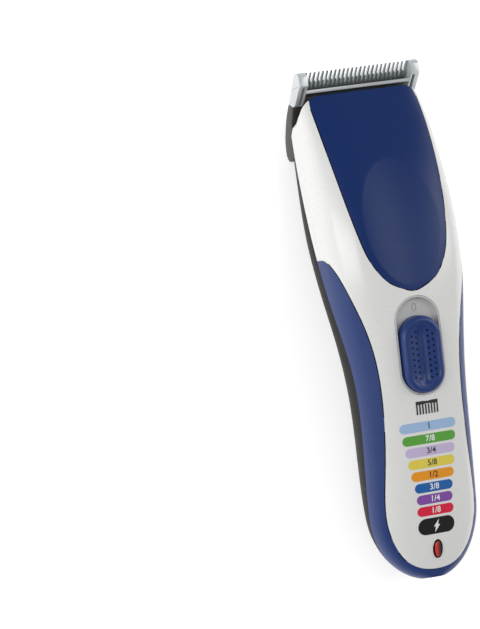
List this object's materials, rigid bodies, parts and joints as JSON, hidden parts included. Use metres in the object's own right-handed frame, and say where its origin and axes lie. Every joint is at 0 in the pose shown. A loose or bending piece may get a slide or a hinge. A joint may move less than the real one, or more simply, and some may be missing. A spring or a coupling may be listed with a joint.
{
  "type": "hair clipper",
  "caption": "Cordless hair clipper with a snap-off tilted blade head, thumb slide switch, curved two-tone body and tail charging inlet",
  "frame": {"origin": "on the surface that the clipper lies on, under the middle of its length and width", "axes": "+Y from the tail to the blade, +Z out of the face with the switch, +X to the right of the face seen with the blade up"},
  "size_m": [0.0517, 0.1816, 0.0388],
  "materials": {
    "pearl_white": "pearl gloss",
    "navy_blue": "satin gloss",
    "grip_blue": "soft satin",
    "black_plastic": "matt",
    "recess_grey": "fine texture",
    "carrier_grey": "satin",
    "guard_silver": "satin",
    "blade_steel": "ground",
    "spring_steel": "bright",
    "screw_steel": "bright",
    "motor_steel": "zinc plated",
    "bush_brass": "turned",
    "follower_plastic": "natural acetal",
    "light_red": "clear red",
    "emitter_white": "gloss",
    "board_green": "solder mask",
    "chip_black": "matt",
    "cell_wrap": "film",
    "magnet_grey": "sintered",
    "inlet_black": "matt"
  },
  "bodies": {
    "housing": {"front_housing": "pearl_white", "rear_housing": "grip_blue", "back_cover": "black_plastic", "face_panel": "navy_blue", "nose_frame": "black_plastic", "switch_bezel": "recess_grey", "switch_contacts": "inlet_black", "light_bezel": "black_plastic", "light_lens": "light_red", "light_emitter": "emitter_white", "charging_board": "board_green", "charging_inlet": "inlet_black", "battery_cell": "cell_wrap", "battery_contact_minus": "spring_steel", "battery_contact_plus": "spring_steel", "battery_cradle": "follower_plastic", "circuit_board": "board_green", "board_chips": "chip_black", "motor_can": "motor_steel", "motor_bush": "bush_brass", "motor_end_cap": "chip_black", "motor_terminals": "bush_brass", "motor_magnets": "magnet_grey", "motor_bracket": "black_plastic", "housing_screws": "screw_steel"},
    "blade_head": {"blade_carrier": "carrier_grey", "blade_guard": "guard_silver", "fixed_blade": "blade_steel", "blade_screws": "screw_steel", "tension_spring": "spring_steel"},
    "cutter": {"moving_cutter": "blade_steel", "cam_follower": "follower_plastic"},
    "rotor": {"motor_rotor": "motor_steel", "motor_shaft": "blade_steel", "eccentric": "follower_plastic"},
    "switch": {"power_switch": "grip_blue", "switch_slider": "follower_plastic"}
  },
  "joints": [
    {"name": "blade_head_hinge", "type": "hinge", "parent": "housing", "child": "blade_head", "pos_m": [0, 0.0645, 0.0033], "axis": [-1, 0, 0], "range_deg": [0, 35]},
    {"name": "cutter_slide", "type": "slide", "parent": "blade_head", "child": "cutter", "axis": [1, 0, 0], "range_m": [-0.0012, 0.0012]},
    {"name": "motor_spin", "type": "hinge", "parent": "housing", "child": "rotor", "pos_m": [0, 0.0782, 0.014], "axis": [0, 0.9877, -0.1564], "continuous": true},
    {"name": "switch_slide", "type": "slide", "parent": "housing", "child": "switch", "axis": [0, 0.9923, 0.1236], "range_m": [0, 0.0055]}
  ]
}
